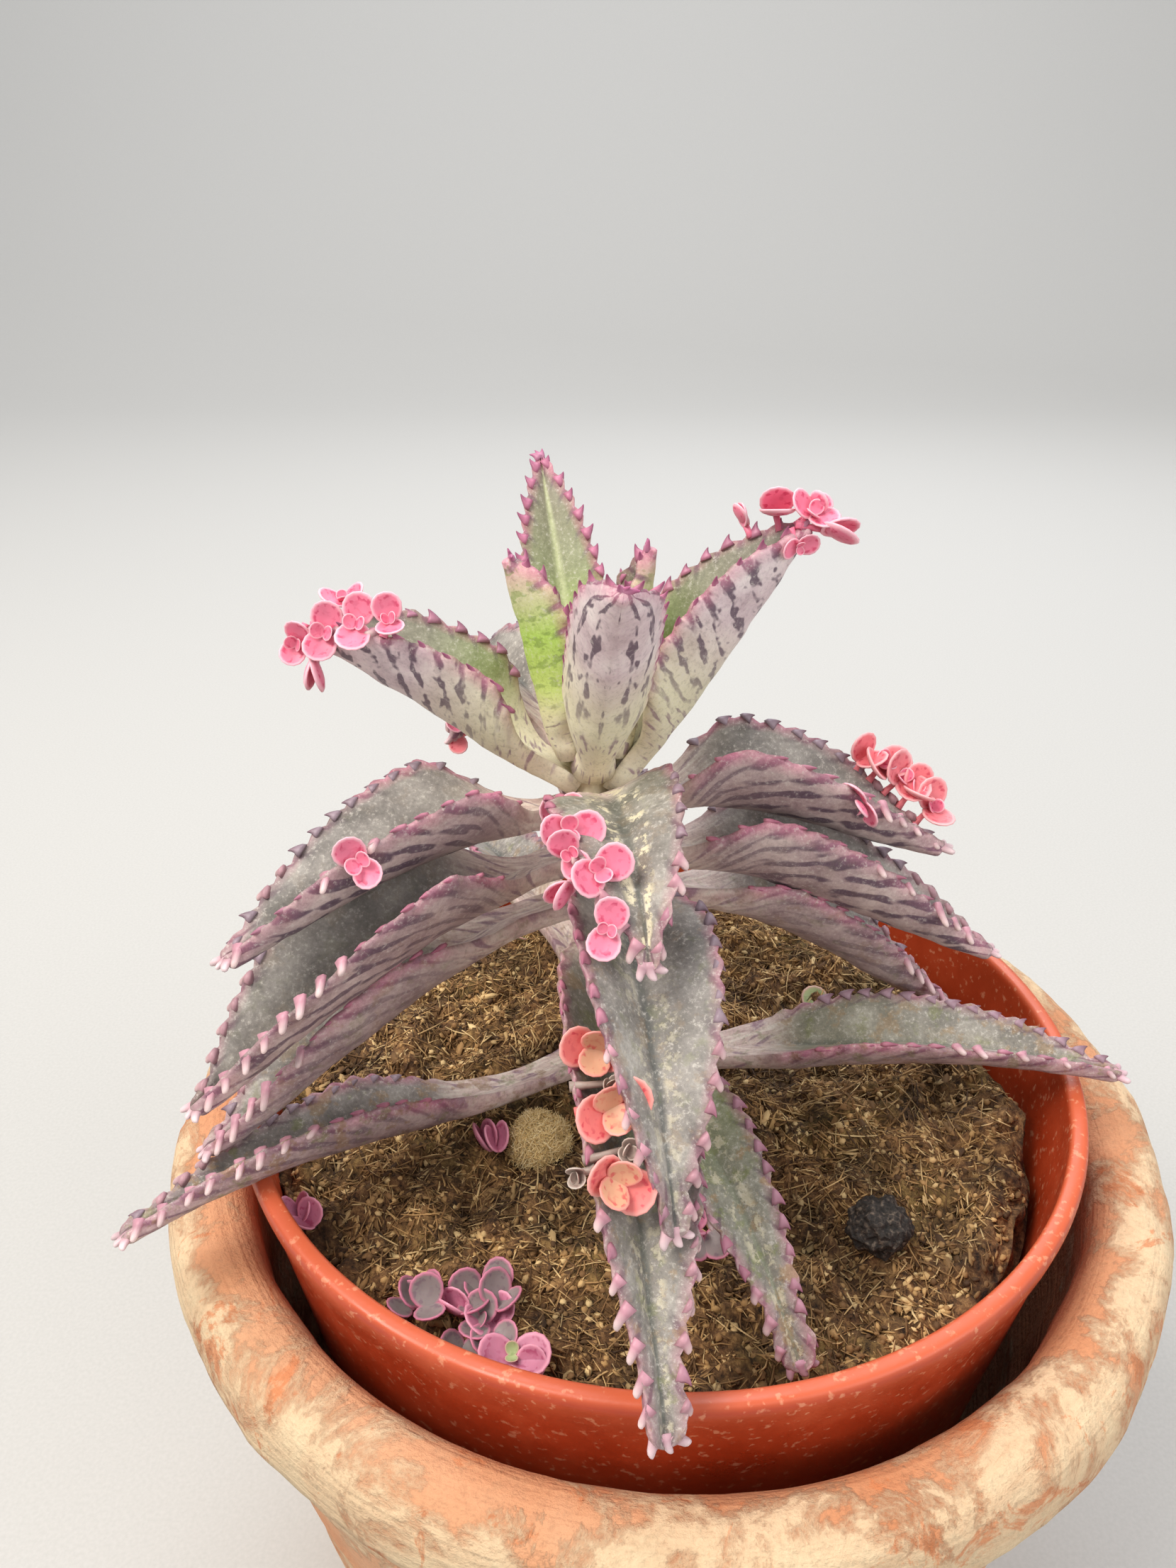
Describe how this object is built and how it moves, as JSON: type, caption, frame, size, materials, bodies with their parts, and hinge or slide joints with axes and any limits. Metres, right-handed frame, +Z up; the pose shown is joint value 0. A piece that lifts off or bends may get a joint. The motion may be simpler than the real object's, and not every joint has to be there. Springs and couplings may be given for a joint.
{
  "type": "potted succulent",
  "caption": "Upright succulent with opposite pairs of toothed, boat-shaped leaves and leaf-edge plantlets, in a tapered plastic pot that stands inside a clay pot.",
  "frame": {"origin": "centre of the clay pot's underside, on the surface that it stands on", "axes": "+Z up along the clay pot's axis; +X to the right and +Y away from the viewer, as the picture shows the plant"},
  "size_m": [0.1452, 0.1452, 0.1974],
  "materials": {
    "terracotta": "matte",
    "orange_plastic": "satin",
    "peat": "matte",
    "stem": "matte",
    "leaf": "matte",
    "plantlet_pink": "matte",
    "straw": "matte",
    "charred_bark": "matte"
  },
  "bodies": {
    "root": {"clay_pot": "terracotta", "nursery_pot": "orange_plastic", "soil": "peat", "stem": "stem", "leaf_01_left": "leaf", "leaf_01_right": "leaf", "leaf_02_front": "leaf", "leaf_02_back": "leaf", "leaf_03_left": "leaf", "leaf_03_right": "leaf", "leaf_04_front": "leaf", "leaf_04_back": "leaf", "leaf_05_left": "leaf", "leaf_05_right": "leaf", "leaf_06_front": "leaf", "leaf_06_back": "leaf", "leaf_07_left": "leaf", "leaf_07_right": "leaf", "leaf_08_front": "leaf", "leaf_08_back": "leaf", "leaf_09_left": "leaf", "leaf_09_right": "leaf", "leaf_10_front": "leaf", "leaf_10_back": "leaf", "leaf_11_left": "leaf", "leaf_11_right": "leaf", "fallen_plantlets_01": "plantlet_pink", "fallen_plantlets_02": "plantlet_pink", "fallen_plantlets_03": "plantlet_pink", "fallen_plantlets_04": "plantlet_pink", "fallen_plantlets_05": "plantlet_pink", "fallen_plantlets_06": "plantlet_pink", "fibre_ball": "straw", "dark_clump": "charred_bark"}
  },
  "joints": []
}
